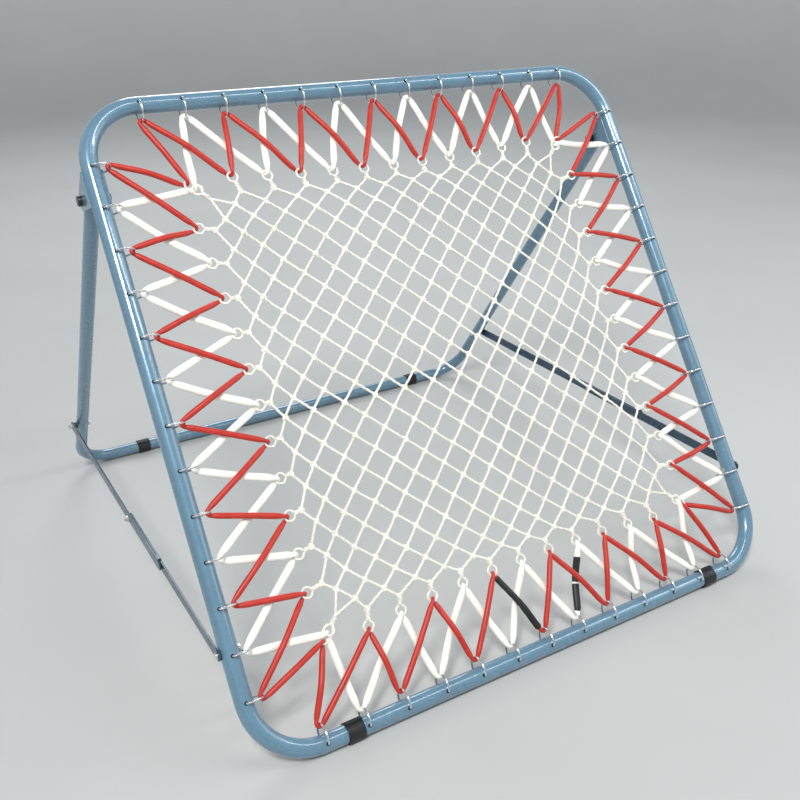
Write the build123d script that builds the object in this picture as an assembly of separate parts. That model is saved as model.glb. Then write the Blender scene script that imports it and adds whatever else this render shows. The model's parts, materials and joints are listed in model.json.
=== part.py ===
from build123d import *
import math
import os

# Ball rebounder: a square tube frame that leans back on a hinged U-shaped rear frame,
# with a knotted net hung inside it on two elastic cords laced through wire rings.
#
# Row frame: +X to the right of someone facing the net, +Y to the back, +Z up,
# origin on the ground at the middle of the object's box. Millimetres.

# Front frame
RING_PITCH = 70.0          # spacing of the wire rings along each side
RINGS_EACH_WAY = 6         # rings on each side of the middle ring
FRONT_HALF = 519.0         # middle of the frame to the axis of each side
FRONT_BEND = 98.0          # corner radius on the tube's axis
FRONT_R = 14.3             # 28.6 mm tube
TUBE_WALL = 1.5

# Rear frame
REAR_R = 12.7              # 25.4 mm tube
REAR_BEND = 75.0
LEG_LENGTH = 911.0         # hinge axis to the axis of the ground tube
LEG_TOP = 16.0             # leg above the hinge axis
HINGE_UP = 389.0           # hinge axis above the middle of the front frame
HINGE_BACK = 44.4          # hinge axis behind the front frame's plane
OPEN_ANGLE = 71.9          # leg to front frame when the stand is open, degrees

# Wire rings
WIRE_R = 1.75
RING_HOLE_R = 3.0
RING_REACH = 30.0          # tube axis to the ring's inner end
RING_HALF_WIDE = 18.5      # where the bow meets the straight through the tube
RING_BEND = 4.5

# Net and elastic cords
TIP_LINE = 355.0           # middle of the frame to the outermost knots
MESHES = 13                # whole diamonds across the net
EYES_EACH_WAY = 5          # edge eyes on each side of the middle one
EYE_PITCH = 60.5
EYE_LINE = 375.0           # middle of the frame to the middle eye of a side
EYE_LINE_BOW = 13.0        # how much further out the last eye of a side sits
CORNER_EYE = 378.0
EYE_R = 10.0
EYE_HOLE_R = 6.5
STRAND_WIDE = 4.0
NET_THICK = 4.0
RED_R = 4.6
WHITE_R = 4.6
ELASTIC_OFFSET = 11.2      # elastic centre line to the net's plane at the eyes
ELASTIC_GAP = 0.7          # elastic to the inner end of a ring
SLEEVE_WALL = 1.2

# Hinges
EAR_THICK = 3.0
EAR_BASE = (357.0, 417.0)  # where an ear meets the side tube, above the middle
EAR_NOSE_R = 16.0
HINGE_BOLT_R = 4.0
RUNNING_GAP = 0.06
CAP_R = 8.6

# Stays
STAY_ON_LEG = 731.0        # hinge axis to the stay's bolt, along the leg
STAY_ON_FRONT = -343.0     # stay's bolt on the side tube, above the middle
STAY_WIDE = 18.0
STAY_THICK = 3.0
STAY_TAIL = 175.0          # rear link beyond the knee
STAY_BOLT_R = 3.0
PLAY = 0.1

# Feet
FOOT_X = 372.0
FOOT_WIDE = 28.0
FOOT_WALL = 2.4
SOLE_FLAT = 0.8            # how far the sole is cut into the band
LIP_DEEP = 8.0             # the clamping lip, in and out
LIP_WIDE = 6.0

# Places worked out from the sizes above, in the plane square to X.
# Along the front frame is u, out of its front face is w.
FRONT_SOLE = FRONT_R + FOOT_WALL - SOLE_FLAT
REAR_SOLE = REAR_R + FOOT_WALL - SOLE_FLAT
open_rad = math.radians(OPEN_ANGLE)
leg_u = -math.cos(open_rad)
leg_w = -math.sin(open_rad)
foot_u = HINGE_UP + LEG_LENGTH * leg_u + FRONT_HALF
foot_w = -HINGE_BACK + LEG_LENGTH * leg_w
footprint = math.hypot(foot_u, foot_w)
LEAN = math.atan2(-foot_w, foot_u) - math.asin((FRONT_SOLE - REAR_SOLE) / footprint)
front_y = -(footprint + REAR_R - FRONT_R) / 2

mid_y = front_y + FRONT_HALF * math.cos(LEAN)
mid_z = FRONT_SOLE + FRONT_HALF * math.sin(LEAN)
front_normal = (0, -math.sin(LEAN), math.cos(LEAN))
FRONT = Plane(origin=(0, mid_y, mid_z), x_dir=(1, 0, 0), z_dir=front_normal)


def front_point(x, u, w):
    """Point at x across, u up and w out of the front frame."""
    return FRONT.from_local_coords(Vector(x, u, w))


hinge_at = front_point(0, HINGE_UP, -HINGE_BACK)
leg_down = front_point(0, leg_u, leg_w) - front_point(0, 0, 0)
REAR = Plane(origin=hinge_at, x_dir=(1, 0, 0), z_dir=Vector(1, 0, 0).cross(leg_down * -1))
stay_rear_at = hinge_at + leg_down * STAY_ON_LEG
stay_front_at = front_point(0, STAY_ON_FRONT, 0)
stay_span = (stay_front_at - stay_rear_at).length
STAY_LINK = stay_span / 2

# Stack of the right-hand stay along X, from the tubes outwards.
front_side_x = FRONT_HALF + FRONT_R
front_link_x = front_side_x + 1.2
rear_link_x = front_link_x + STAY_THICK + 0.6


def along_x(x0, x1, at, radius):
    """Round bar along X from x0 to x1 through the point at."""
    base = Plane(origin=(min(x0, x1), at.Y, at.Z), x_dir=(0, 1, 0), z_dir=(1, 0, 0))
    return extrude(base * Circle(radius), abs(x1 - x0))


def hex_along_x(x0, x1, at, across_flats):
    base = Plane(origin=(min(x0, x1), at.Y, at.Z), x_dir=(0, 1, 0), z_dir=(1, 0, 0))
    hexagon = RegularPolygon(across_flats / 2, 6, major_radius=False)
    return extrude(base * hexagon, abs(x1 - x0))


def washer_along_x(x0, x1, at, outer, inner):
    return along_x(x0, x1, at, outer) - along_x(x0, x1, at, inner)


def rod(a, b, radius):
    """Round bar between two points."""
    return extrude(Plane(origin=a, z_dir=b - a) * Circle(radius), (b - a).length)


def both_sides(part):
    """A right-hand part and its mirror image, as separate solids."""
    return Compound(children=solids_of(part) + solids_of(mirror(part, about=Plane.YZ)))


def solids_of(part):
    return [Solid(s.wrapped) for s in part.solids()]


def write(node, part):
    pieces = solids_of(part)
    shape = pieces[0] if len(pieces) == 1 else Compound(children=pieces)
    shape.label = node
    export_step(shape, f"parts/{node}.step")


def round_tube(path, start, radius):
    """Hollow round tube along a path, from a section at its start."""
    outer = sweep(start * Circle(radius), path=path)
    inner = sweep(start * Circle(radius - TUBE_WALL), path=path)
    return outer - inner


# Front frame tube: one closed square loop, drilled for rings and stay bolts.
def front_tube():
    loop = FRONT * RectangleRounded(2 * FRONT_HALF, 2 * FRONT_HALF, FRONT_BEND)
    start = Plane(origin=front_point(0, -FRONT_HALF, 0), x_dir=front_normal, z_dir=(1, 0, 0))
    tube = round_tube(loop.wire(), start, FRONT_R)
    drills = [FRONT * Pos(x, u, 0) * Cylinder(RING_HOLE_R, 3 * FRONT_R) for x, u, _ in ring_places()]
    for side in (-1, 1):
        x0 = side * (FRONT_HALF - 2 * FRONT_R)
        x1 = side * (FRONT_HALF + 2 * FRONT_R)
        drills.append(along_x(x0, x1, stay_front_at, STAY_BOLT_R + PLAY))
    return tube - drills


# Wire rings: each passes through the tube from front to back and reaches inwards.
def ring_places():
    """Every ring's x, u and side angle. At angle 0 the ring reaches up, from the bottom tube."""
    places = []
    for angle in (0, 90, 180, 270):
        turn = math.radians(angle)
        for k in range(-RINGS_EACH_WAY, RINGS_EACH_WAY + 1):
            along = k * RING_PITCH
            x = along * math.cos(turn) + FRONT_HALF * math.sin(turn)
            u = along * math.sin(turn) - FRONT_HALF * math.cos(turn)
            places.append((x, u, angle))
    return places


def wire_ring():
    """A D-shaped ring that reaches towards +Y from a tube axis on the X axis."""
    foot_a = (0, -RING_HALF_WIDE)
    foot_b = (0, RING_HALF_WIDE)
    bow = ThreePointArc(foot_b, (RING_REACH, 0), foot_a)
    outline = make_face([Line(foot_a, foot_b), bow])
    outline = fillet(outline.vertices(), RING_BEND)
    path = (Plane.YZ * outline).wire()
    section = Plane(path @ 0, z_dir=path % 0) * Circle(WIRE_R)
    return sweep(section, path=path)


def rings(angle):
    ring = wire_ring()
    places = [p for p in ring_places() if p[2] == angle]
    return Compound(children=[
        Solid((FRONT * Pos(x, u, 0) * Rot(0, 0, a) * ring).solid().wrapped) for x, u, a in places
    ])


# Net: a flat stand-in with the real outline and openings.
def eye_places():
    """Edge eyes, as {(side angle, index): (x, u)}; the corner eyes are separate."""
    eyes = {}
    for angle in (0, 90, 180, 270):
        turn = math.radians(angle)
        for m in range(-EYES_EACH_WAY, EYES_EACH_WAY + 1):
            along = m * EYE_PITCH
            out = EYE_LINE + EYE_LINE_BOW * (m / EYES_EACH_WAY) ** 2
            x = along * math.cos(turn) + out * math.sin(turn)
            u = along * math.sin(turn) - out * math.cos(turn)
            eyes[angle, m] = (x, u)
    return eyes


def strip(a, b, wide):
    """Flat strip between two points of the net's plane."""
    dx = b[0] - a[0]
    dy = b[1] - a[1]
    middle = Pos((a[0] + b[0]) / 2, (a[1] + b[1]) / 2)
    return middle * Rot(0, 0, math.degrees(math.atan2(dy, dx))) * Rectangle(math.hypot(dx, dy), wide)


def net():
    mesh = 2 * TIP_LINE / MESHES
    half = MESHES / 2
    flat = []
    for j in range(1, MESHES - 1):
        near = (j - half + 0.5) * mesh
        ends = [((TIP_LINE, near), (near, TIP_LINE)), ((TIP_LINE, -near), (near, -TIP_LINE))]
        for a, b in ends:
            flat.append(strip(a, b, STRAND_WIDE))
            flat.append(strip((-a[0], -a[1]), (-b[0], -b[1]), STRAND_WIDE))
    inner = (half - 0.5) * mesh
    outer = (half - 1) * mesh
    for a, b in (((inner, outer), (-outer, -inner)), ((outer, inner), (-inner, -outer))):
        flat.append(strip(a, b, STRAND_WIDE))
        flat.append(strip((-a[0], a[1]), (-b[0], b[1]), STRAND_WIDE))
    for sx in (-1, 1):
        for su in (-1, 1):
            eye = (sx * CORNER_EYE, su * CORNER_EYE)
            flat.append(strip((sx * inner, su * outer), eye, STRAND_WIDE))
            flat.append(strip((sx * outer, su * inner), eye, STRAND_WIDE))
    for (angle, m), eye in eye_places().items():
        turn = math.radians(angle)
        x = m * mesh * math.cos(turn) + TIP_LINE * math.sin(turn)
        u = m * mesh * math.sin(turn) - TIP_LINE * math.cos(turn)
        flat.append(strip((x, u), eye, 2 * STRAND_WIDE))
    places = list(eye_places().values())
    places += [(sx * CORNER_EYE, su * CORNER_EYE) for sx in (-1, 1) for su in (-1, 1)]
    solid = Sketch() + flat + [Pos(x, u) * Circle(EYE_R) for x, u in places]
    holes = [Pos(x, u) * Circle(EYE_HOLE_R) for x, u in places]
    return FRONT * Pos(0, 0, -NET_THICK / 2) * extrude(solid - holes, NET_THICK)


# Elastic cords: two closed zigzag loops between the rings and the eyes.
# Red uses the odd-numbered rings of each side and white the even ones; both use the corner eyes.
def turning_points(first, offset):
    """Middles of one cord's turns, in the front frame's axes, going round the four sides."""
    eyes = eye_places()
    ring_line = FRONT_HALF - RING_REACH
    turns = []
    for angle in (0, 90, 180, 270):
        turn = math.radians(angle)
        for k in range(-RINGS_EACH_WAY + first, RINGS_EACH_WAY + 1 - first, 2):
            x = k * RING_PITCH * math.cos(turn) + ring_line * math.sin(turn)
            u = k * RING_PITCH * math.sin(turn) - ring_line * math.cos(turn)
            turns.append(Vector(x, u, 0))
            if k + 1 <= EYES_EACH_WAY:
                turns.append(Vector(*eyes[angle, k + 1], offset))
        corner = math.radians(angle + 45)
        far = CORNER_EYE * math.sqrt(2)
        turns.append(Vector(far * math.sin(corner), -far * math.cos(corner), offset))
    return turns


def neighbours(points):
    """Every point of a closed loop with the one before it and the one after it."""
    return zip(points[-1:] + points[:-1], points, points[1:] + points[:1])


def lacing(first, radius, offset):
    """Where one cord's straight strands would meet, so that they pass round every turn."""
    turns = turning_points(first, offset)
    bend = bend_radius(radius)
    corners = turns
    for _ in range(12):
        moved = []
        for turn, (before, here, after) in zip(turns, neighbours(corners)):
            one = (before - here).normalized()
            other = (after - here).normalized()
            half = math.radians(one.get_angle(other)) / 2
            moved.append(turn - (one + other).normalized() * (bend / math.sin(half)))
        corners = moved
    return [front_point(c.X, c.Y, c.Z) for c in corners]


def bend_radius(radius):
    """Radius of a cord's centre line where it goes round a ring's wire."""
    return radius + WIRE_R + ELASTIC_GAP


def cord(corners, radius):
    """Closed cord whose straight strands are joined by round turns."""
    bend = bend_radius(radius)
    turns = []
    for before, here, after in neighbours(corners):
        one = (before - here).normalized()
        other = (after - here).normalized()
        half = math.radians(one.get_angle(other)) / 2
        inside = here + (one + other).normalized() * (bend / math.sin(half) - bend)
        straight = bend / math.tan(half)
        turns.append((here + one * straight, inside, here + other * straight))
    edges = []
    for turn, following in zip(turns, turns[1:] + turns[:1]):
        edges.append(ThreePointArc(*turn))
        edges.append(Line(turn[2], following[0]))
    path = Wire([e.edge() for e in edges])
    start = Plane(origin=turns[0][0], z_dir=corners[0] - turns[0][0])
    return sweep(start * Circle(radius), path=path)


def strand_sleeve(a, b, start, end, radius):
    """Sleeve over part of a strand, given as shares of its length."""
    p = a + (b - a) * start
    q = a + (b - a) * end
    return rod(p, q, radius + SLEEVE_WALL) - rod(p, q, radius + PLAY)


# Hinges
def hinge_bracket():
    """Two triangular ears on the right-hand side tube, each with its weld bead."""
    base = Line((EAR_BASE[0], 2), (EAR_BASE[1], 2))
    nose = CenterArc((HINGE_UP, -HINGE_BACK), EAR_NOSE_R, 0, 360)
    profile = make_hull([base.edge(), nose.edge()])
    profile -= Pos(HINGE_UP, -HINGE_BACK) * Circle(HINGE_BOLT_R + PLAY)
    ears = []
    for inner_x, bead_x in ((FRONT_R, FRONT_R - 0.7), (-FRONT_R - EAR_THICK, -FRONT_R + 0.7)):
        side = FRONT * Plane(origin=(FRONT_HALF + inner_x, 0, 0), x_dir=(0, 1, 0), z_dir=(1, 0, 0))
        ear = extrude(side * profile, EAR_THICK)
        low = front_point(FRONT_HALF + bead_x, EAR_BASE[0] + 4, -8.5)
        high = front_point(FRONT_HALF + bead_x, EAR_BASE[1] - 4, -8.5)
        ears.append(ear + rod(low, high, 2.5))
    return Compound(children=[s for ear in ears for s in solids_of(ear)])


ear_out = FRONT_HALF + FRONT_R + EAR_THICK
ear_in = FRONT_HALF - FRONT_R - EAR_THICK
HEAD_DEEP = 4.5
NUT_DEEP = 6.5
NUT_AF = 13.0


def hinge_bolt():
    shank = along_x(ear_in - NUT_DEEP - 2, ear_out, hinge_at, HINGE_BOLT_R)
    return shank + hex_along_x(ear_out, ear_out + HEAD_DEEP, hinge_at, NUT_AF)


def hinge_nut():
    nut = hex_along_x(ear_in - NUT_DEEP, ear_in, hinge_at, NUT_AF)
    return nut - along_x(ear_in - NUT_DEEP, ear_in, hinge_at, HINGE_BOLT_R)


def bolt_cap(face_x, outwards, pocket_deep):
    """Domed plastic cap over a bolt head or nut that sits on the face at face_x."""
    pocket_r = NUT_AF / math.sqrt(3) + PLAY
    height = pocket_deep + 2.2
    body = along_x(face_x, face_x + outwards * height, hinge_at, CAP_R)
    rim = body.edges().filter_by(GeomType.CIRCLE).sort_by(Axis.X)[-1 if outwards > 0 else 0]
    body = fillet(rim, 2.0)
    return body - along_x(face_x, face_x + outwards * pocket_deep, hinge_at, pocket_r)


def hinge_spacers():
    """Saddle washers that fill the room between the round leg and the flat ears."""
    leg = rod(hinge_at - leg_down * 40 + Vector(FRONT_HALF, 0, 0),
              hinge_at + leg_down * 40 + Vector(FRONT_HALF, 0, 0), REAR_R + 0.02)
    ring = washer_along_x(
        FRONT_HALF - FRONT_R + 0.05, FRONT_HALF + FRONT_R - 0.05, hinge_at, 9.0,
        HINGE_BOLT_R + RUNNING_GAP)
    return ring - leg


# Rear frame
def rear_tube():
    path = FilletPolyline(
        (-FRONT_HALF, LEG_TOP), (-FRONT_HALF, -LEG_LENGTH),
        (FRONT_HALF, -LEG_LENGTH), (FRONT_HALF, LEG_TOP), radius=REAR_BEND)
    path = REAR * path
    start = Plane(origin=path @ 0, z_dir=path % 0)
    tube = round_tube(path.wire(), start, REAR_R)
    drills = []
    for side in (-1, 1):
        x0 = side * (FRONT_HALF - 2 * REAR_R)
        x1 = side * (FRONT_HALF + 2 * REAR_R)
        drills.append(along_x(x0, x1, hinge_at, HINGE_BOLT_R + RUNNING_GAP))
        drills.append(along_x(x0, x1, stay_rear_at, STAY_BOLT_R + PLAY))
    return tube - drills


def leg_plug():
    """Plastic plug in the open top of the right-hand leg."""
    top = hinge_at - leg_down * LEG_TOP + Vector(FRONT_HALF, 0, 0)
    lid = rod(top, top - leg_down * 3, REAR_R)
    rim = lid.edges().filter_by(GeomType.CIRCLE).sort_by_distance(hinge_at)[-1]
    lid = fillet(rim, 1.2)
    return lid + rod(top, top + leg_down * 8, REAR_R - TUBE_WALL - PLAY)


# Feet: split rubber bands with a flat sole and a clamping lip.
def foot(axis_at, tube_r, sole, lip_angle):
    side = Plane(origin=(axis_at.X - FOOT_WIDE / 2, axis_at.Y, axis_at.Z),
                 x_dir=(0, 1, 0), z_dir=(1, 0, 0))
    outer = tube_r + FOOT_WALL
    lip = Rot(0, 0, lip_angle) * Pos(outer - 1, 0) * RectangleRounded(LIP_DEEP, LIP_WIDE, 1.2)
    profile = Circle(outer) + lip
    profile -= Circle(tube_r + 0.05)
    profile -= Rot(0, 0, lip_angle) * Pos(outer, 0) * Rectangle(20, 0.8)
    below = Pos(0, -sole - 10) * Rectangle(60, 20)
    return extrude(side * (profile - below), FOOT_WIDE)


# Stays: a front link and a rear link on each side, joined at a knee.
def link_plane(x, at, to):
    return Plane(origin=(x, at.Y, at.Z), x_dir=(to - at), z_dir=(1, 0, 0))


def link(x, at, to, length):
    """Flat bar from a pivot towards another point, with rounded ends past both holes."""
    plane = link_plane(x, at, to)
    bar = Pos(length / 2, 0) * SlotCenterToCenter(length, STAY_WIDE)
    return extrude(plane * bar, STAY_THICK)


knee_at = (stay_front_at + stay_rear_at) * 0.5


def front_stay():
    bar = link(front_link_x, stay_front_at, stay_rear_at, STAY_LINK)
    x1 = front_link_x + STAY_THICK
    holes = [along_x(front_link_x, x1, p, STAY_BOLT_R + RUNNING_GAP) for p in (stay_front_at, knee_at)]
    return bar - holes


def rear_stay():
    """Longer link, whose tail lies along the front link and stops it with a bent lip."""
    bar = link(rear_link_x, stay_rear_at, stay_front_at, STAY_LINK + STAY_TAIL)
    x1 = rear_link_x + STAY_THICK
    plane = link_plane(rear_link_x, stay_rear_at, stay_front_at)
    lip_from = STAY_LINK + STAY_TAIL - 16
    over = STAY_WIDE / 2 + 0.3
    tab = Pos(lip_from + 8, -(over + 2.5) / 2) * Rectangle(16, over + 2.5)
    bar += extrude(plane * tab, STAY_THICK)
    lip_plane = link_plane(front_link_x, stay_rear_at, stay_front_at)
    lip = Pos(lip_from + 8, -over - 1.25) * Rectangle(16, 2.5)
    bar += extrude(lip_plane * lip, x1 - front_link_x)
    holes = [along_x(rear_link_x, x1, p, STAY_BOLT_R + RUNNING_GAP) for p in (stay_rear_at, knee_at)]
    return bar - holes


def button_head(x0, x1, at, radius):
    """Low domed head whose flat side is at x0."""
    head = along_x(x0, x1, at, radius)
    last = -1 if x1 > x0 else 0
    rim = head.edges().filter_by(GeomType.CIRCLE).sort_by(Axis.X)[last]
    return fillet(rim, abs(x1 - x0) * 0.6)


front_in_x = FRONT_HALF - FRONT_R
rear_out_x = FRONT_HALF + REAR_R
rear_in_x = FRONT_HALF - REAR_R
STAY_NUT_AF = 10.0
STAY_NUT_DEEP = 5.0
THIN_NUT_DEEP = 3.2        # lock nut inside the front tube, clear of the white cord


def stay_front_bolt():
    head_x = front_link_x + STAY_THICK + PLAY
    shank = along_x(front_in_x - THIN_NUT_DEEP, head_x, stay_front_at, STAY_BOLT_R)
    return shank + button_head(head_x, head_x + 3.4, stay_front_at, 5.5)


def stay_front_nut():
    nut = hex_along_x(front_in_x - THIN_NUT_DEEP, front_in_x, stay_front_at, STAY_NUT_AF)
    return nut - along_x(front_in_x - THIN_NUT_DEEP, front_in_x, stay_front_at, STAY_BOLT_R)


def stay_front_washer():
    return washer_along_x(front_side_x + 0.05, front_link_x - PLAY, stay_front_at, 7.0, 3.2)


def stay_rear_bolt():
    end = rear_link_x + STAY_THICK + PLAY + STAY_NUT_DEEP + 2
    shank = along_x(rear_in_x, end, stay_rear_at, STAY_BOLT_R)
    return shank + button_head(rear_in_x, rear_in_x - 3.8, stay_rear_at, 5.5)


def stay_rear_nut():
    x0 = rear_link_x + STAY_THICK + PLAY
    nut = hex_along_x(x0, x0 + STAY_NUT_DEEP, stay_rear_at, STAY_NUT_AF)
    return nut - along_x(x0, x0 + STAY_NUT_DEEP, stay_rear_at, STAY_BOLT_R)


def stay_rear_spacer():
    leg = rod(stay_rear_at - leg_down * 30 + Vector(FRONT_HALF, 0, 0),
              stay_rear_at + leg_down * 30 + Vector(FRONT_HALF, 0, 0), REAR_R + 0.02)
    tube = washer_along_x(rear_out_x - 4, rear_link_x - PLAY, stay_rear_at, 6.5, 3.2)
    return tube - leg


def knee_bolt():
    """The knee's outer half, carried by the rear link: shank, nut and thread end."""
    x1 = rear_link_x + STAY_THICK
    shank = along_x(rear_link_x, x1 + 8.5, knee_at, STAY_BOLT_R)
    return shank + hex_along_x(x1 + PLAY, x1 + PLAY + STAY_NUT_DEEP, knee_at, STAY_NUT_AF)


def knee_rivet():
    """The knee's inner half, carried by the front link: shank and low head."""
    shank = along_x(front_link_x - PLAY, front_link_x + STAY_THICK, knee_at, STAY_BOLT_R)
    return shank + button_head(front_link_x - PLAY, front_link_x - 2.4, knee_at, 5.2)


def left(part):
    return mirror(part, about=Plane.YZ)


os.makedirs("parts", exist_ok=True)

write("front_frame_tube", front_tube())
write("bottom_net_rings", rings(0))
write("right_net_rings", rings(90))
write("top_net_rings", rings(180))
write("left_net_rings", rings(270))
write("net", net())

red = lacing(0, RED_R, ELASTIC_OFFSET)
white = lacing(1, WHITE_R, -ELASTIC_OFFSET)
write("red_elastic", cord(red, RED_R))
write("white_elastic", cord(white, WHITE_R))
write("red_elastic_sleeve", strand_sleeve(red[6], red[5], 0.17, 0.87, RED_R))
write("white_elastic_sleeve", strand_sleeve(white[6], white[7], 0.17, 0.82, WHITE_R))

write("right_hinge_bracket", hinge_bracket())
write("left_hinge_bracket", left(hinge_bracket()))
write("hinge_bolts", both_sides(hinge_bolt()))
write("hinge_nuts", both_sides(hinge_nut()))
caps = Compound(children=solids_of(bolt_cap(ear_out, 1, HEAD_DEEP + PLAY))
                + solids_of(bolt_cap(ear_in, -1, NUT_DEEP + 2 + PLAY)))
write("hinge_bolt_caps", both_sides(caps))
write("hinge_spacers", both_sides(hinge_spacers()))

write("rear_frame_tube", rear_tube())
write("rear_leg_plugs", both_sides(leg_plug()))

front_axis = front_point(FOOT_X, -FRONT_HALF, 0)
rear_axis = hinge_at + leg_down * LEG_LENGTH + Vector(FOOT_X, 0, 0)
front_foot = foot(front_axis, FRONT_R, FRONT_SOLE, 85)
rear_foot = foot(rear_axis, REAR_R, REAR_SOLE, 130)
write("front_right_foot", front_foot)
write("front_left_foot", left(front_foot))
write("rear_right_foot", rear_foot)
write("rear_left_foot", left(rear_foot))

write("right_front_stay", front_stay())
write("left_front_stay", left(front_stay()))
write("right_rear_stay", rear_stay())
write("left_rear_stay", left(rear_stay()))
write("right_knee_bolt", knee_bolt())
write("left_knee_bolt", left(knee_bolt()))
write("right_knee_rivet", knee_rivet())
write("left_knee_rivet", left(knee_rivet()))
write("stay_front_bolts", both_sides(stay_front_bolt()))
write("stay_front_nuts", both_sides(stay_front_nut()))
write("stay_front_washers", both_sides(stay_front_washer()))
write("stay_rear_bolts", both_sides(stay_rear_bolt()))
write("stay_rear_nuts", both_sides(stay_rear_nut()))
write("stay_rear_spacers", both_sides(stay_rear_spacer()))
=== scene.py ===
import json
import math

import bpy
import numpy as np
from mathutils import Euler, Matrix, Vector


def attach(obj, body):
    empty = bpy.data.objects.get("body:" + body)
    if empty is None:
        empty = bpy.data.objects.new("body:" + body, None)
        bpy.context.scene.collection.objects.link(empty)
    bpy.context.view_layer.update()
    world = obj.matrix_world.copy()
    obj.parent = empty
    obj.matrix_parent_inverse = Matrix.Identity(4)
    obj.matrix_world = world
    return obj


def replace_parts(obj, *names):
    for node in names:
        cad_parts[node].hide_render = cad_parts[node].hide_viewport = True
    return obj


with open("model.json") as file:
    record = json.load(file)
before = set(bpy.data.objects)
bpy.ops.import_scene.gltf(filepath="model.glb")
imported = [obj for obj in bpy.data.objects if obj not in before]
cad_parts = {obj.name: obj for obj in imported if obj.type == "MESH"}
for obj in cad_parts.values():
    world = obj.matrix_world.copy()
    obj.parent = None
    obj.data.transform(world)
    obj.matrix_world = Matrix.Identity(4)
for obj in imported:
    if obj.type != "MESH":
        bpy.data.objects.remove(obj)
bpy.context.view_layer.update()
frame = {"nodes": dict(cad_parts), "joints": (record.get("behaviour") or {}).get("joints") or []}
nodes = frame["nodes"]
joints = {j["name"]: j for j in frame["joints"]}
rng = np.random.RandomState(7)

MM = 0.001

# The front frame's own axes: x across, u up the frame, w out of its front face.
# The hinge and the stay bolt give its place: both are known along u and w.
HINGE_UP, HINGE_BACK = 389.0, 44.4
STAY_DOWN = 343.0
hinge = np.array(joints["rear_fold"]["pos_m"])
stay_bolt = np.array(joints["right_front_link_fold"]["pos_m"])
rise = hinge - stay_bolt
LEAN = math.atan2(rise[2], rise[1]) + math.atan2(HINGE_BACK, HINGE_UP + STAY_DOWN)
AXIS_X = np.array([1.0, 0.0, 0.0])
AXIS_U = np.array([0.0, math.cos(LEAN), math.sin(LEAN)])
AXIS_W = np.array([0.0, -math.sin(LEAN), math.cos(LEAN)])
MIDDLE = np.array([0.0, stay_bolt[1], stay_bolt[2]]) + STAY_DOWN * MM * AXIS_U

FRONT_HALF = 519.0        # middle of the frame to a side tube's axis
RING_PITCH = 70.0
RING_REACH = 30.0         # tube axis to a wire ring's inner end
RINGS_EACH_WAY = 6        # rings on each side of the middle ring
WIRE_R = 1.75
TWINE_R = 2.05
EYE_PITCH = 60.5
EYES_EACH_WAY = 5         # eyes on each side of the middle eye
EYE_LINE = 376.0          # middle of the frame to the middle eye's outer end
EYE_BOW = 13.0            # how much further out the last eye of a side sits
CORNER_RED, CORNER_WHITE = 381.0, 371.0   # x and u of the two loops at a corner
MESH_STEP = 28.5          # half a net diamond


def place(points):
    """Points in the front frame's axes, in mm, to the row frame in metres."""
    p = np.asarray(points, float) * MM
    return MIDDLE + p[..., :1] * AXIS_X + p[..., 1:2] * AXIS_U + p[..., 2:3] * AXIS_W


def turned(x, out, angle):
    """Point x along a side and out from the middle; the sides stand at 0, 90, 180 and 270 degrees."""
    c, s = math.cos(math.radians(angle)), math.sin(math.radians(angle))
    return np.array([x * c + out * s, x * s - out * c, 0.0])


def unit(v):
    return v / np.maximum(np.linalg.norm(v, axis=-1, keepdims=True), 1e-12)


# Mesh building

PLY = {"lobes": 3, "depth": 0.12}          # three-ply twine
WHIPPING_PLY = {"lobes": 2, "depth": 0.08}


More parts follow.
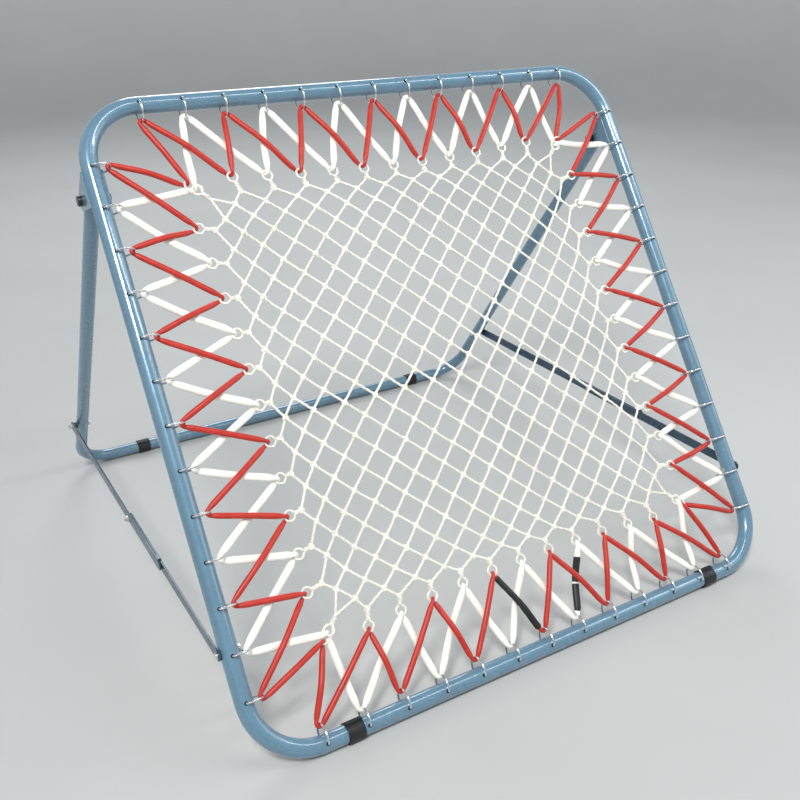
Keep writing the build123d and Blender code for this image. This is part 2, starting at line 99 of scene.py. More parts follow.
class Soup:
    """Collects tubes, with a UV for every face corner: along the tube in mm, and round it as a share."""

    def __init__(self):
        self.points, self.quads, self.uvs, self.caps, self.count = [], [], [], [], 0

    def tube(self, path, radius, sides=8, closed=False, up=(0, 0, 1), flat=1.0,
             lobes=0, depth=0.0, pitch=9.0, phase=0.0):
        p = np.asarray(path, float)
        n = len(p)
        t = unit(np.roll(p, -1, 0) - np.roll(p, 1, 0)) if closed else unit(np.gradient(p, axis=0))
        side = unit(np.cross(t, np.asarray(up, float)))
        top = np.cross(side, t)
        step = np.linalg.norm(np.roll(p, -1, 0) - p, axis=1)
        s = np.concatenate([[0], np.cumsum(step)])
        a = np.linspace(0, 2 * math.pi, sides, endpoint=False)
        r = np.broadcast_to(np.asarray(radius, float).reshape(-1, 1), (n, 1)) * np.ones((1, sides))
        if lobes:
            turn = lobes * a[None] + 2 * math.pi * s[:n, None] / pitch + phase
            r = r * (1 + depth * np.cos(turn))
        ring = (side[:, None] * (np.cos(a) * r)[..., None]
                + top[:, None] * (np.sin(a) * r * flat)[..., None])
        self.grid(p[:, None] + ring, s, closed)

    def grid(self, v, s, closed):
        n, sides = v.shape[:2]
        rows = n if closed else n - 1
        i, j = np.meshgrid(np.arange(rows), np.arange(sides), indexing="ij")
        i2, j2 = (i + 1) % n, (j + 1) % sides
        q = np.stack([i * sides + j, i * sides + j2, i2 * sides + j2, i2 * sides + j], -1)
        lo, hi = s[i], s[i + 1]
        uv = np.stack([np.stack([lo, j / sides], -1), np.stack([lo, (j + 1) / sides], -1),
                       np.stack([hi, (j + 1) / sides], -1), np.stack([hi, j / sides], -1)], 2)
        self.quads.append(q.reshape(-1, 4) + self.count)
        self.uvs.append(uv.reshape(-1, 4, 2))
        if not closed:
            self.caps.append((np.arange(sides)[::-1] + self.count).tolist())
            self.caps.append((np.arange(sides) + (n - 1) * sides + self.count).tolist())
        self.points.append(v.reshape(-1, 3))
        self.count += n * sides

    def copies(self, template, places, turns):
        """Copies of another soup at each place, turned by each matrix."""
        base = np.concatenate(template.points)
        quads = np.concatenate(template.quads)
        uvs = np.concatenate(template.uvs)
        for where, m in zip(places, turns):
            self.points.append(base @ np.asarray(m).T + where)
            self.quads.append(quads + self.count)
            self.uvs.append(uvs)
            for cap in template.caps:
                self.caps.append([c + self.count for c in cap])
            self.count += len(base)

    def piece(self, name, material, slot):
        mesh = bpy.data.meshes.new(name)
        quads = np.concatenate(self.quads)
        mesh.from_pydata(place(np.concatenate(self.points)).tolist(), [],
                         quads.tolist() + self.caps)
        layer = mesh.uv_layers.new(name="UVMap")
        uv = np.zeros((len(mesh.loops), 2))
        flat = np.concatenate(self.uvs).reshape(-1, 2)
        uv[:len(flat)] = flat
        layer.data.foreach_set("uv", uv.astype(np.float32).ravel())
        mesh.polygons.foreach_set("use_smooth", np.ones(len(mesh.polygons), bool))
        mesh.materials.append(material)
        mesh.update()
        obj = bpy.data.objects.new(name, mesh)
        bpy.context.scene.collection.objects.link(obj)
        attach(obj, "front_frame")
        return obj


def smooth_path(points, steps=4):
    """Catmull-Rom curve through the points."""
    p = np.asarray(points, float)
    p = np.concatenate([2 * p[:1] - p[1:2], p, 2 * p[-1:] - p[-2:-1]])
    t = np.linspace(0, 1, steps, endpoint=False)[:, None]
    out = []
    for a, b, c, d in zip(p, p[1:], p[2:], p[3:]):
        out.append(0.5 * (2 * b + (c - a) * t + (2 * a - 5 * b + 4 * c - d) * t ** 2
                          + (3 * b - a - 3 * c + d) * t ** 3))
    return np.concatenate(out + [p[-2:-1]])


# Materials: every one has its own colour variation and bump, and all but the twine a roughness variation.

def nodes_of(name):
    m = bpy.data.materials.new(name)
    m.use_nodes = True
    tree = m.node_tree
    return m, tree, tree.nodes["Principled BSDF"]


def add(tree, kind, links=(), **values):
    """A node with its inputs set: a number or colour is a value, a socket is a link."""
    n = tree.nodes.new(kind)
    for key, value in values.items():
        setattr(n, key, value)
    for key, value in dict(links).items():
        socket = n.inputs[key]
        if isinstance(value, bpy.types.NodeSocket):
            tree.links.new(value, socket)
        else:
            socket.default_value = value
    return n


def coords(tree, scale, kind="Object"):
    where = add(tree, "ShaderNodeTexCoord")
    return add(tree, "ShaderNodeMapping", {"Vector": where.outputs[kind], "Scale": scale}).outputs[0]


def noise(tree, vector, scale, detail=4.0, rough=0.55):
    return add(tree, "ShaderNodeTexNoise",
               {"Vector": vector, "Scale": scale, "Detail": detail, "Roughness": rough}).outputs["Fac"]


def ramp(tree, fac, low, high, a=0.3, b=0.7):
    """Fac from a to b mapped on two colours."""
    n = add(tree, "ShaderNodeValToRGB", {"Fac": fac})
    n.color_ramp.elements[0].position, n.color_ramp.elements[1].position = a, b
    n.color_ramp.elements[0].color = (*low, 1) if hasattr(low, "__len__") else (low, low, low, 1)
    n.color_ramp.elements[1].color = (*high, 1) if hasattr(high, "__len__") else (high, high, high, 1)
    return n.outputs["Color"]


def mix(tree, fac, a, b, how="MIX"):
    n = add(tree, "ShaderNodeMix", data_type="RGBA", blend_type=how)
    for socket, value in ((n.inputs[0], fac), (n.inputs[6], a), (n.inputs[7], b)):
        if isinstance(value, bpy.types.NodeSocket):
            tree.links.new(value, socket)
        else:
            socket.default_value = value if isinstance(value, float) else (*value, 1)
    return n.outputs[2]


def bump(tree, height, strength, distance, normal=None):
    links = {"Height": height, "Strength": strength, "Distance": distance}
    if normal is not None:
        links["Normal"] = normal
    return add(tree, "ShaderNodeBump", links).outputs[0]


def soft_edge(tree, radius):
    n = add(tree, "ShaderNodeBevel", {"Radius": radius}, samples=4)
    return n.outputs[0]


def connect(tree, bsdf, **sockets):
    for key, value in sockets.items():
        socket = bsdf.inputs[key.replace("_", " ")]
        if isinstance(value, bpy.types.NodeSocket):
            tree.links.new(value, socket)
        else:
            socket.default_value = value


def paint(name, light, dark, edge=0.0006, coat=1.0):
    """Baked gloss enamel: slight orange peel, cloudy colour, dust near the ground and a few scuffs."""
    m, tree, bsdf = nodes_of(name)
    where = coords(tree, (1, 1, 1))
    cloud = noise(tree, where, 9.0, 5.0)
    colour = ramp(tree, cloud, dark, light, 0.35, 0.65)
    height = add(tree, "ShaderNodeSeparateXYZ", {"Vector": where}).outputs["Z"]
    low = add(tree, "ShaderNodeMapRange", {"Value": height, "From Min": 0.09, "From Max": 0.0}).outputs[0]
    specks = ramp(tree, noise(tree, where, 160.0, 6.0, 0.7), 0.0, 1.0, 0.52, 0.72)
    dusty = add(tree, "ShaderNodeMath", {0: low, 1: specks}, operation="MULTIPLY").outputs[0]
    dusty = add(tree, "ShaderNodeMath", {0: dusty, 1: 0.14}, operation="MULTIPLY").outputs[0]
    colour = mix(tree, dusty, colour, (0.30, 0.27, 0.21))
    scuff = ramp(tree, noise(tree, coords(tree, (30, 30, 220)), 2.4, 3.0, 0.6), 0.0, 1.0, 0.68, 0.74)
    colour = mix(tree, add(tree, "ShaderNodeMath", {0: scuff, 1: 0.07}, operation="MULTIPLY").outputs[0],
                 colour, (0.42, 0.50, 0.56))
    rough = ramp(tree, noise(tree, where, 40.0, 4.0), 0.20, 0.36, 0.3, 0.75)
    peel = noise(tree, where, 620.0, 2.0)
    normal = bump(tree, peel, 0.05, 0.0003, soft_edge(tree, edge))
    normal = bump(tree, scuff, 0.06, 0.0002, normal)
    connect(tree, bsdf, Base_Color=colour, Roughness=rough, Normal=normal, Coat_Weight=coat,
            Coat_Roughness=0.05, Metallic=0.12, Coat_Normal=normal)
    return m


def metal(name, light, dark, rough_low, rough_high, grain):
    """Plated steel: cloudy plating with darker spots at random, and fine grain."""
    m, tree, bsdf = nodes_of(name)
    where = coords(tree, (1, 1, 1))
    cloud = noise(tree, where, 90.0, 5.0)
    colour = ramp(tree, cloud, dark, light, 0.3, 0.6)
    rough = ramp(tree, noise(tree, where, 260.0, 4.0), rough_low, rough_high)
    fine = noise(tree, where, grain, 3.0)
    normal = bump(tree, fine, 0.12, 0.0002, soft_edge(tree, 0.0003))
    connect(tree, bsdf, Base_Color=colour, Roughness=rough, Normal=normal, Metallic=1.0)
    return m


def moulded(name, light, dark, rough_low, rough_high, grain, strength, edge=0.0008, coat=0.0):
    """Moulded rubber or plastic: fine pebbled skin with paler rubbed patches."""
    m, tree, bsdf = nodes_of(name)
    where = coords(tree, (1, 1, 1))
    patch = noise(tree, where, 55.0, 6.0, 0.65)
    colour = ramp(tree, patch, dark, light, 0.42, 0.72)
    rough = ramp(tree, noise(tree, where, 120.0, 4.0), rough_low, rough_high)
    cells = add(tree, "ShaderNodeTexVoronoi", {"Vector": where, "Scale": grain}).outputs["Distance"]
    normal = bump(tree, cells, strength, 0.0004, soft_edge(tree, edge))
    connect(tree, bsdf, Base_Color=colour, Roughness=rough, Normal=normal, Coat_Weight=coat)
    return m


def elastic(name, light, dark, rough_low, rough_high, sheen):
    """Elastic tube: cloudy satin skin, drawn lines along it and a fine cross grain."""
    m, tree, bsdf = nodes_of(name)
    along = coords(tree, (0.02, 26, 1), "UV")
    lines = noise(tree, along, 1.0, 4.0, 0.6)
    where = coords(tree, (1, 1, 1))
    cloud = noise(tree, where, 70.0, 5.0, 0.6)
    both = add(tree, "ShaderNodeMath", {0: cloud, 1: lines}, operation="ADD").outputs[0]
    both = add(tree, "ShaderNodeMath", {0: both, 1: 0.5}, operation="MULTIPLY").outputs[0]
    colour = ramp(tree, both, dark, light, 0.38, 0.60)
    rough = ramp(tree, cloud, rough_low, rough_high)
    grain = noise(tree, coords(tree, (1.6, 60, 1), "UV"), 1.0, 3.0)
    normal = bump(tree, lines, 0.22, 0.0006)
    normal = bump(tree, grain, 0.15, 0.0003, normal)
    connect(tree, bsdf, Base_Color=colour, Roughness=rough, Normal=normal, Sheen_Weight=sheen,
            Sheen_Roughness=0.4, Subsurface_Weight=0.04, Subsurface_Scale=0.002)
    return m


def twine(name, light, dark, plies, pitch):
    """Twisted cord: plies wind round it, with fibres along each ply and painted shade in the grooves
    between the plies.
    """
    m, tree, bsdf = nodes_of(name)
    uv = add(tree, "ShaderNodeSeparateXYZ",
             {"Vector": add(tree, "ShaderNodeTexCoord").outputs["UV"]})
    around = add(tree, "ShaderNodeMath", {0: uv.outputs["Y"], 1: plies * 2 * math.pi},
                 operation="MULTIPLY").outputs[0]
    turn = add(tree, "ShaderNodeMath", {0: uv.outputs["X"], 1: 2 * math.pi / pitch, 2: around},
               operation="MULTIPLY_ADD").outputs[0]
    wave = add(tree, "ShaderNodeMath", {0: turn}, operation="COSINE").outputs[0]
    wave = add(tree, "ShaderNodeMath", {0: wave, 1: 0.5, 2: 0.5}, operation="MULTIPLY_ADD").outputs[0]
    fibre_turn = add(tree, "ShaderNodeMath", {0: turn, 1: 3.0}, operation="MULTIPLY").outputs[0]
    fibre = add(tree, "ShaderNodeCombineXYZ", {"X": fibre_turn, "Y": uv.outputs["X"]}).outputs[0]
    hairs = noise(tree, fibre, 1.3, 4.0, 0.7)
    where = coords(tree, (1, 1, 1))
    stain = ramp(tree, noise(tree, where, 14.0, 4.0), 0.90, 1.0, 0.35, 0.6)
    # painted shade: the colour goes to the dark colour in the grooves between the plies
    painted_groove_shade = ramp(tree, wave, dark, light, 0.0, 0.45)
    colour = mix(tree, 1.0, painted_groove_shade, stain, "MULTIPLY")
    colour = mix(tree, 0.25, colour, ramp(tree, hairs, dark, (1.0, 1.0, 0.97)), "SOFT_LIGHT")
    normal = bump(tree, wave, 0.55, 0.0006)
    normal = bump(tree, hairs, 0.35, 0.0003, normal)
    connect(tree, bsdf, Base_Color=colour, Roughness=0.78, Normal=normal, Sheen_Weight=0.35,
            Sheen_Roughness=0.5, Subsurface_Weight=0.06, Subsurface_Scale=0.0015)
    return m


FRAME_BLUE = paint("frame_enamel", (0.125, 0.250, 0.350), (0.112, 0.226, 0.318))
STAY_BLUE = paint("stay_enamel", (0.034, 0.076, 0.120), (0.026, 0.060, 0.096), 0.0007, 0.15)
RING_STEEL = metal("ring_plating", (0.84, 0.85, 0.86), (0.62, 0.63, 0.65), 0.12, 0.26, 900.0)
ZINC = metal("zinc_plating", (0.74, 0.74, 0.71), (0.50, 0.50, 0.48), 0.22, 0.42, 1400.0)
FOOT_BLACK = moulded("foot_rubber", (0.018, 0.018, 0.019), (0.007, 0.007, 0.008),
                     0.40, 0.60, 1500.0, 0.20)
CAP_BLACK = moulded("cap_plastic", (0.022, 0.022, 0.024), (0.009, 0.009, 0.010),
                    0.16, 0.32, 900.0, 0.05, 0.0006, 0.3)
NYLON = moulded("washer_nylon", (0.060, 0.060, 0.064), (0.032, 0.032, 0.036),
                0.38, 0.55, 1100.0, 0.10, 0.0004)
RED = elastic("red_rubber_skin", (0.560, 0.034, 0.018), (0.430, 0.018, 0.010), 0.34, 0.50, 0.15)
WHITE = elastic("white_rubber_skin", (0.93, 0.925, 0.865), (0.87, 0.86, 0.785), 0.42, 0.60, 0.20)
SLEEVE = elastic("sleeve_rubber", (0.014, 0.015, 0.015), (0.006, 0.006, 0.007), 0.38, 0.56, 0.0)
# each twine's second colour is the painted shade in its ply grooves and also the dark end of its fibres
CORD = twine("net_twine", (0.93, 0.92, 0.83), (0.68, 0.66, 0.56), 3, 11.0)
WHIPPING = twine("whipping_twine", (0.93, 0.92, 0.84), (0.62, 0.60, 0.50), 2, 5.0)

for material, names in (
    (FRAME_BLUE, "front_frame_tube left_hinge_bracket right_hinge_bracket rear_frame_tube"),
    (STAY_BLUE, "left_front_stay right_front_stay left_rear_stay right_rear_stay"),
    (RING_STEEL, "bottom_net_rings top_net_rings left_net_rings right_net_rings"),
    (ZINC, "hinge_bolts hinge_nuts left_knee_bolt right_knee_bolt left_knee_rivet right_knee_rivet "
           "stay_front_bolts stay_front_nuts stay_rear_bolts stay_rear_nuts"),
    (FOOT_BLACK, "front_left_foot front_right_foot rear_left_foot rear_right_foot"),
    (CAP_BLACK, "hinge_bolt_caps rear_leg_plugs"),
    (NYLON, "hinge_spacers stay_front_washers stay_rear_spacers"),
):
    for name in names.split():
        nodes[name].data.materials.clear()
        nodes[name].data.materials.append(material)


# Net: knotted twine, one diamond apart, drawn in slightly towards its edges.

KNOTS = 12                         # rows of knots on each side of the middle one
TIP_ROW = KNOTS + 1                # the outermost knots, which carry the eyes
DRAWN_FROM, DRAWN = 9, 0.94
TIP_LINE, TIP_BOW = 350.0, 5.0
TIP_PITCH = EYE_PITCH - 1.6
CORNER_MERGE = 350.0
TWINE_PITCH = 11.0
SLACK = 0.7                        # how far a strand may bow
KNOT_SIZE, KNOT_R = 1.45, 2.0


def net_line(i):
    """Distance from the middle of the i-th row of knots, which crowd together near the edge."""
    return np.sign(i) * (MESH_STEP * abs(i) - DRAWN * max(0, abs(i) - DRAWN_FROM) ** 2)


def tip_at(k, angle):
    """The k-th outermost knot of a side, where an eye's neck starts."""
    return turned(k * TIP_PITCH, TIP_LINE + TIP_BOW * (k / EYES_EACH_WAY) ** 2, angle)


def knot_places():
    places = {}
    for i in range(-KNOTS, KNOTS + 1):
        for j in range(-KNOTS, KNOTS + 1):
            if (i + j) % 2:
                jitter = rng.uniform(-0.7, 0.7, 3)
                places[i, j] = np.array([net_line(i), net_line(j), 0.0]) + jitter
    for k in range(-EYES_EACH_WAY, EYES_EACH_WAY + 1):
        for angle, key in ((0, (2 * k, -TIP_ROW)), (90, (TIP_ROW, 2 * k)),
                           (180, (-2 * k, TIP_ROW)), (270, (-TIP_ROW, -2 * k))):
            places[key] = tip_at(k, angle)
    return places


def strand(soup, a, b):
    """One twisted length of twine between two knots, a little bowed."""
    t = np.linspace(0, 1, 15)[:, None]
    bow = rng.uniform(-SLACK, SLACK, 3)
    path = a + (b - a) * t + bow * np.sin(math.pi * t)
    swell = TWINE_R * (1 + 0.10 * np.abs(2 * t[:, 0] - 1) ** 6)
    soup.tube(path, swell, sides=9, pitch=TWINE_PITCH, phase=rng.uniform(0, 6.28), **PLY)


def knot_template():
    """A small closed knot of twine, drawn up tight."""
    t = np.linspace(0, 2 * math.pi, 40, endpoint=False)
    path = KNOT_SIZE * np.stack([np.sin(t) + 2 * np.sin(2 * t), np.cos(t) - 2 * np.cos(2 * t),
                                 -0.95 * np.sin(3 * t)], 1)
    soup = Soup()
    soup.tube(path, KNOT_R, sides=8, closed=True, up=(0.02, 0.03, 1), pitch=7.0, **WHIPPING_PLY)
    return soup


def about(axis, angle):
    """Matrix of a turn about an axis."""
    c, s = math.cos(angle), math.sin(angle)
    x, y, z = axis
    return np.array([[c + x * x * (1 - c), x * y * (1 - c) - z * s, x * z * (1 - c) + y * s],
                     [y * x * (1 - c) + z * s, c + y * y * (1 - c), y * z * (1 - c) - x * s],
                     [z * x * (1 - c) - y * s, z * y * (1 - c) + x * s, c + z * z * (1 - c)]])


places = knot_places()
strands, knots = Soup(), Soup()
for (i, j), here in places.items():
    for di, dj in ((1, 1), (1, -1)):
        there = places.get((i + di, j + dj))
        if there is not None:
            strand(strands, here, there)
for sx in (-1, 1):
    for su in (-1, 1):
        merge = np.array([sx * CORNER_MERGE, su * CORNER_MERGE, 0.0])
        strand(strands, places[sx * KNOTS, su * (KNOTS - 1)], merge + (sx * -0.8, su * 1.2, 0.0))
        strand(strands, places[sx * (KNOTS - 1), su * KNOTS], merge + (sx * 1.2, su * -0.8, 0.0))

turns = []
for _ in places:
    tilt = about(unit(rng.uniform(-1, 1, 3)), rng.uniform(-0.45, 0.45))
    turns.append(tilt @ about((0, 0, 1), rng.uniform(0, 6.28)))
knots.copies(knot_template(), list(places.values()), turns)


# Eyes: at each tip the twine is whipped together and ends in an open loop.

LOOP_LONG = 17.0
LOOP_HALF_WIDE = 8.3
LOOP_R = 1.8
LOOP_LAYER = 1.6          # how far a corner's second loop lies above its first
NECK_LEAST = 4.5          # shortest whipped neck
CORE_R = 2.0              # twine inside the whipping
COIL_R = 3.0              # middle of the neck to the middle of the whipping twine
WHIPPING_R = 1.05
WHIPPING_STEP = 1.75      # one turn of the whipping along the neck


def eye(loops, whips, origin, outward, loop_ends, neck_from):
    """Open loops whose outer ends are at loop_ends along outward, with a whipped neck from neck_from."""
    across = np.array([-outward[1], outward[0], 0.0])
    front = np.array([0.0, 0.0, 1.0])

    def at(x, y, w=0.0):
        return origin + outward * y + across * x + front * w

    neck_to = max(min(loop_ends) - LOOP_LONG, neck_from + NECK_LEAST)
    for index, end in enumerate(loop_ends):
        lift = LOOP_LAYER * index
        long_r = (end - neck_to) / 2
        middle = neck_to + long_r
        round_end = [at(LOOP_HALF_WIDE * math.cos(v), middle + long_r * math.sin(v), lift)
                     for v in np.linspace(-0.30 * math.pi, 1.30 * math.pi, 15)]
        left = [at(-1.1, neck_to - 3.0, lift), at(-1.8, neck_to - 0.4, lift)]
        right = [at(1.8, neck_to - 0.4, lift), at(1.1, neck_to - 3.0, lift)]
        path = smooth_path(right[::-1] + round_end + left[::-1])
        loops.tube(path, LOOP_R, sides=10, pitch=9.0, phase=rng.uniform(0, 6.28), **PLY)
    core = [at(0, neck_from - 1.0), at(0.1, neck_to - 0.6)]
    t = np.linspace(0, 1, 6)[:, None]
    loops.tube(core[0] + (core[1] - core[0]) * t, CORE_R, sides=10)
    coils = max(3, int((neck_to - neck_from) / WHIPPING_STEP))
    s = np.linspace(0, 1, coils * 10 + 1)
    turn = 2 * math.pi * coils * s + rng.uniform(0, 6.28)
    wide = COIL_R + 0.35 * np.sin(2 * math.pi * s * 2 + rng.uniform(0, 6.28))
    y = neck_from + (neck_to - 0.3 - neck_from) * s
    helix = np.stack([at(wide[n] * math.cos(turn[n]), y[n], 0.85 * wide[n] * math.sin(turn[n]))
                      for n in range(len(s))])
    whips.tube(helix, WHIPPING_R, sides=7, up=outward + 0.01 * across, pitch=5.0, **WHIPPING_PLY)
    for _ in range(2):
        lean = rng.uniform(-1, 1)
        start = at(1.8 * np.sign(lean), neck_from + rng.uniform(0, 2), rng.uniform(0, 1.5))
        end = start + across * (2.6 * np.sign(lean) + lean) + outward * rng.uniform(-4, 3)
        end = end + front * rng.uniform(0.5, 3)
        middle = (start + end) / 2 + front * 1.2
        tail = smooth_path([start, middle, end])
        whips.tube(tail, np.linspace(0.85, 0.45, len(tail)), sides=6)


loops, whips = Soup(), Soup()
eye_at = {}
for angle in (0, 90, 180, 270):
    outward = turned(0, 1, angle)
    for k in range(-EYES_EACH_WAY, EYES_EACH_WAY + 1):
        base = tip_at(k, angle)
        goal = turned(k * EYE_PITCH, EYE_LINE + EYE_BOW * (k / EYES_EACH_WAY) ** 2, angle)
        toward = unit(goal - base)
        reach = np.linalg.norm(goal - base)
        eye(loops, whips, base, toward, [reach], 2.0)
        eye_at[angle, k] = goal
    diagonal = unit(turned(1, 1, angle))
    merge = turned(CORNER_MERGE, CORNER_MERGE, angle)
    ends = [(c - CORNER_MERGE) * math.sqrt(2) for c in (CORNER_RED, CORNER_WHITE)]
    eye(loops, whips, merge, diagonal, ends, 0.0)

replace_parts(strands.piece("net_twine_strands", CORD, "net_cord"), "net")
knots.piece("net_knots", CORD, "net_cord")
loops.piece("net_edge_loops", CORD, "net_cord")
whips.piece("net_whippings", WHIPPING, "net_cord")


# Elastic cords: each goes round a ring's wire, crosses to an eye, passes through it and comes back.

def cord_turns(first, corner):
    """Middles of one cord's turns round the four sides, as (kind, point)."""
    out = []
    for angle in (0, 90, 180, 270):
        for k in range(-RINGS_EACH_WAY + first, RINGS_EACH_WAY + 1 - first, 2):
            out.append(("ring", turned(k * RING_PITCH, FRONT_HALF - RING_REACH, angle)))
            if k + 1 <= EYES_EACH_WAY:
                out.append(("eye", eye_at[angle, k + 1]))
        out.append(("eye", turned(corner, corner, angle)))
    return out


PINCH_RING, PINCH_EYE = 0.66, 0.64      # a cord's girth where it bends, as a share of its full girth
PINCH_FADE = 7.0                        # how far along a strand the squeeze dies out
EYE_SPREAD = 3.4                        # from an eye's middle to where each strand leaves it
TOUCH = 0.1                             # cord to the wire or twine that it bends round
TURN_STEPS, STRAND_STEPS = 13, 60
CORD_STEP = 1.4                         # between the cord's cross-sections


def cord_path(turns, radius, thick, cross_w):
    """The cord's middle line and its girth share, as one list per turn and per straight strand."""
    arcs, girths = [], []
    n = len(turns)
    for index, (kind, c) in enumerate(turns):
        one = unit(turns[index - 1][1] - c)
        other = unit(turns[(index + 1) % n][1] - c)
        inward = unit(one + other)
        share = np.linspace(-1, 1, TURN_STEPS)
        if kind == "ring":
            wrap = radius * PINCH_RING + WIRE_R + TOUCH
            first = unit(-(other - (other @ one) * one))
            last = unit(-(one - (one @ other) * other))
            span = math.acos(float(np.clip(first @ last, -1, 1)))
            f = (share + 1) / 2
            points = [c + wrap * (math.sin((1 - q) * span) * first + math.sin(q * span) * last)
                      / math.sin(span) for q in f]
            girths.append(np.full(len(share), PINCH_RING))
        else:
            wrap = thick * PINCH_EYE + LOOP_R + TOUCH
            spread = unit(other - one) * EYE_SPREAD
            points = [c - inward * wrap * math.cos(q * math.pi / 2) + spread * q
                      + np.array([0, 0, -wrap * math.sin(q * math.pi / 2)]) for q in share]
            girths.append(np.full(len(share), PINCH_EYE))
        arcs.append(np.array(points))
    parts, shares = [], []
    for index in range(n):
        a, b = arcs[index][-1], arcs[(index + 1) % n][0]
        t = np.linspace(0, 1, STRAND_STEPS)[1:-1, None]
        line = a + (b - a) * t
        bulge = cross_w - (a[2] + b[2]) / 2
        line[:, 2] += bulge * (np.sin(math.pi * t[:, 0]) ** 2)
        parts += [arcs[index], line]
        length = np.linalg.norm(b - a)
        from_a = 1 - np.exp(-(t[:, 0] * length / PINCH_FADE) ** 2)
        from_b = 1 - np.exp(-((1 - t[:, 0]) * length / PINCH_FADE) ** 2)
        low_a, low_b = girths[index][-1], girths[(index + 1) % n][0]
        shares += [girths[index], (low_a + (1 - low_a) * from_a) * (low_b + (1 - low_b) * from_b)]
    return parts, shares


def even_steps(points, step, closed=True):
    p = np.concatenate([points, points[:1]]) if closed else points
    length = np.concatenate([[0], np.cumsum(np.linalg.norm(np.diff(p[:, :3], axis=0), axis=1))])
    count = int(length[-1] / step)
    s = np.linspace(0, length[-1], count, endpoint=not closed)
    return np.stack([np.interp(s, length, p[:, axis]) for axis in range(p.shape[1])], 1)


def softened(points, width):
    """Closed path with its corners eased over a few steps."""
    kernel = np.hanning(2 * width + 3)[1:-1]
    kernel = kernel / kernel.sum()
    out = np.zeros_like(points)
    for n, share in enumerate(kernel):
        out += share * np.roll(points, n - width, 0)
    return out


def elastic_cord(name, node, material, slot_name, turns, radius, thick, cross_w, sides):
    parts, shares = cord_path(turns, radius, thick, cross_w)
    line = np.column_stack([np.concatenate(parts), np.concatenate(shares)])
    line = softened(even_steps(line, CORD_STEP), 2)
    path, girth = line[:, :3], line[:, 3]
    n = len(path)
    ripple = sum(np.sin(2 * math.pi * np.arange(n) * f / n + rng.uniform(0, 6.28))
                 for f in (37, 61, 113, 191)) / 4
    soup = Soup()
    girth = radius * girth * (1 + 0.018 * ripple)
    soup.tube(path, girth, sides=sides, closed=True, flat=thick / radius)
    piece = soup.piece(name, material, slot_name)
    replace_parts(piece, node)
    return parts


RED_R = 4.9
WHITE_R, WHITE_THICK = 6.1, 4.3    # the white cord is flattened: half its width, half its thickness
CROSSING = 5.1                     # how far each cord bulges out of the net's plane where they cross
red_parts = elastic_cord("red_elastic_cord", "red_elastic", RED, "red_rubber",
                         cord_turns(0, CORNER_RED), RED_R, RED_R, CROSSING, 14)
white_parts = elastic_cord("white_elastic_cord", "white_elastic", WHITE, "white_rubber",
                           cord_turns(1, CORNER_WHITE), WHITE_R, WHITE_THICK, -CROSSING, 16)


SLEEVE_STEP = 1.5        # between a sleeve's cross-sections
ROLL = 1.6               # length of a sleeve's rolled-in end
SLEEVE_FLAT = 0.78


def sleeve(soup, line, start, end, profile, flat=1.0):
    """Sleeve on a strand between two shares of its length, with rolled-in ends."""
    path = even_steps(line, SLEEVE_STEP, closed=False)
    n = len(path)
    path = path[int(start * n):int(end * n)]
    t = np.linspace(0, 1, len(path))
    edge = np.minimum(t, 1 - t) * len(path) * SLEEVE_STEP
    r = profile(t) * (0.90 + 0.10 * np.sqrt(np.clip(edge / ROLL, 0, 1)))
    r = r * (1 + 0.015 * np.sin(40 * t + 1))
    soup.tube(path, r, sides=16, flat=flat)


def stepped(t):
    """The red sleeve's radius: a thin half, a small bulge and a thicker half."""
    step = 0.55 / (1 + np.exp(-(t - 0.55) * 60))
    bulge = 0.35 * np.exp(-((t - 0.50) / 0.02) ** 2)
    return 5.20 + step + bulge


def tapered(t):
    """Radius of the white cord's first sleeve, narrow where the cord is squeezed at its ring."""
    return 6.6 - 1.3 * np.exp(-10 * t)


def even(t):
    return 6.5 + 0.1 * t


# The joins: the red cord's two ends meet in a stepped sleeve, and the white cord's in two short ones.
RED_JOIN, WHITE_JOIN = 5, 6
red_sleeve, white_sleeve = Soup(), Soup()
red_line, white_line = red_parts[2 * RED_JOIN + 1], white_parts[2 * WHITE_JOIN + 1]
sleeve(red_sleeve, red_line, 0.03, 0.975, stepped)
sleeve(white_sleeve, white_line, 0.05, 0.455, tapered, SLEEVE_FLAT)
sleeve(white_sleeve, white_line, 0.47, 0.85, even, SLEEVE_FLAT)
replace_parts(red_sleeve.piece("red_cord_sleeve", SLEEVE, "black_rubber"), "red_elastic_sleeve")
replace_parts(white_sleeve.piece("white_cord_sleeves", SLEEVE, "black_rubber"), "white_elastic_sleeve")


# Stage: pale floor, soft light and the camera.

FLOOR_FLAT = 6.0          # radius of the flat floor, in metres
COVE_R = 3.0              # bend from the floor up into the backdrop
BACKDROP_TOP = 9.0
COVE_STEPS = 12


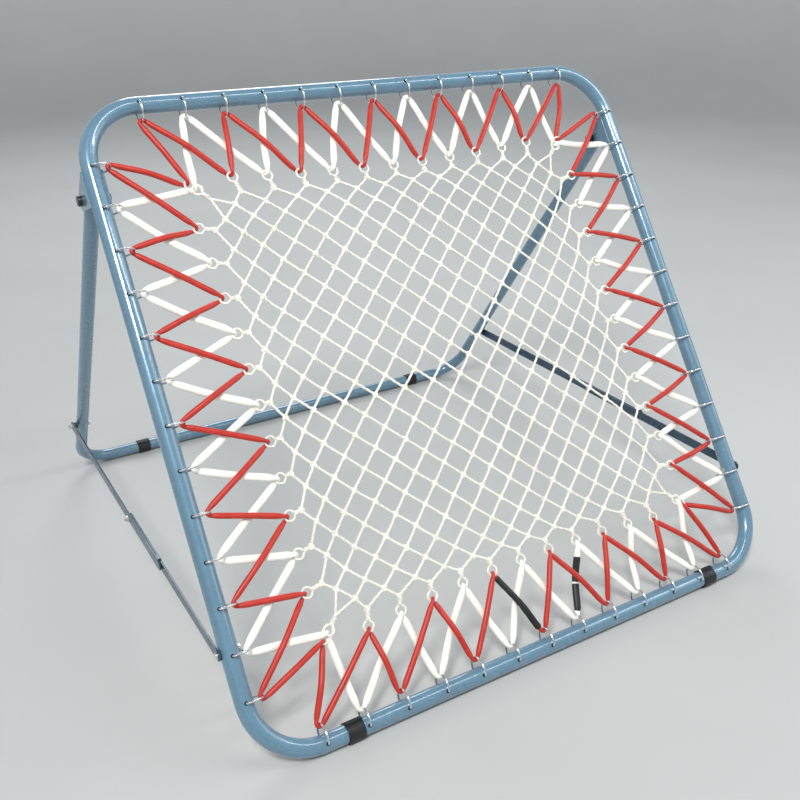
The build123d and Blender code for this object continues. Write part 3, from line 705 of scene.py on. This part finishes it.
def stage_floor():
    """Round floor that curves up into a backdrop, which glows a little more the higher it is."""
    rings = [(0.0, 0.0), (2.5, 0.0), (FLOOR_FLAT, 0.0)]
    for step in range(1, COVE_STEPS + 1):
        a = step / COVE_STEPS * math.pi / 2
        rings.append((FLOOR_FLAT + COVE_R * math.sin(a), COVE_R * (1 - math.cos(a))))
    rings.append((FLOOR_FLAT + COVE_R, BACKDROP_TOP))
    count = 96
    points, faces = [(0, 0, 0)], []
    for radius, height in rings[1:]:
        for n in range(count):
            a = 2 * math.pi * n / count
            points.append((radius * math.cos(a), radius * math.sin(a), height))
    for n in range(count):
        faces.append((0, 1 + n, 1 + (n + 1) % count))
    for ring in range(len(rings) - 2):
        low, high = 1 + ring * count, 1 + (ring + 1) * count
        for n in range(count):
            m = (n + 1) % count
            faces.append((low + n, high + n, high + m, low + m))
    mesh = bpy.data.meshes.new("floor")
    mesh.from_pydata(points, [], faces)
    mesh.polygons.foreach_set("use_smooth", np.ones(len(mesh.polygons), bool))
    m, tree, bsdf = nodes_of("floor_paper")
    where = coords(tree, (1, 1, 1))
    tone = ramp(tree, noise(tree, where, 1.5, 3.0), (0.47, 0.48, 0.475), (0.50, 0.51, 0.505))
    height = add(tree, "ShaderNodeSeparateXYZ", {"Vector": where}).outputs["Z"]
    glow = add(tree, "ShaderNodeMapRange",
               {"Value": height, "From Max": 3.0, "To Max": 0.36}).outputs[0]
    connect(tree, bsdf, Base_Color=tone, Roughness=0.85, Emission_Color=(0.93, 0.96, 1.0, 1.0),
            Emission_Strength=glow, Normal=bump(tree, noise(tree, where, 300.0), 0.05, 0.0005))
    mesh.materials.append(m)
    floor = bpy.data.objects.new("floor", mesh)
    bpy.context.scene.collection.objects.link(floor)


def area_light(name, place_at, size, power, colour=(1, 1, 1), aim=(0, 0, 0.45), deep=None):
    """Round soft light, or a strip when it has a depth as well as a length."""
    data = bpy.data.lights.new(name, "AREA")
    data.shape = "RECTANGLE" if deep else "DISK"
    data.size, data.energy, data.color = size, power, colour
    if deep:
        data.size_y = deep
    light = bpy.data.objects.new(name, data)
    bpy.context.scene.collection.objects.link(light)
    light.location = place_at
    light.rotation_euler = (Vector(aim) - Vector(place_at)).to_track_quat("-Z", "Y").to_euler()


stage_floor()
area_light("key", (-2.2, -2.6, 4.2), 1.2, 175, (1.0, 0.985, 0.96))
area_light("fill", (3.4, -1.8, 2.4), 3.0, 30, (0.93, 0.96, 1.0))
area_light("back", (1.2, 3.6, 3.4), 2.4, 70, (0.96, 0.98, 1.0))
area_light("strip", (1.7, -1.6, 2.8), 3.0, 26, (1, 1, 1), (1.7, -0.55, 0), 0.22)

world = bpy.data.worlds.new("studio")
world.use_nodes = True
world.node_tree.nodes["Background"].inputs["Color"].default_value = (0.90, 0.94, 1.0, 1)
world.node_tree.nodes["Background"].inputs["Strength"].default_value = 0.38
bpy.context.scene.world = world
bpy.context.scene.view_settings.view_transform = "Standard"

camera_data = bpy.data.cameras.new("camera")
camera_data.lens = 43.16
camera_data.shift_x, camera_data.shift_y = -0.0452, -0.0151
camera = bpy.data.objects.new("camera", camera_data)
bpy.context.scene.collection.objects.link(camera)
camera.location = (-0.849, -1.567, 1.087)
camera.rotation_euler = Euler([math.radians(a) for a in (65.784, 0.237, -31.777)])
bpy.context.scene.camera = camera
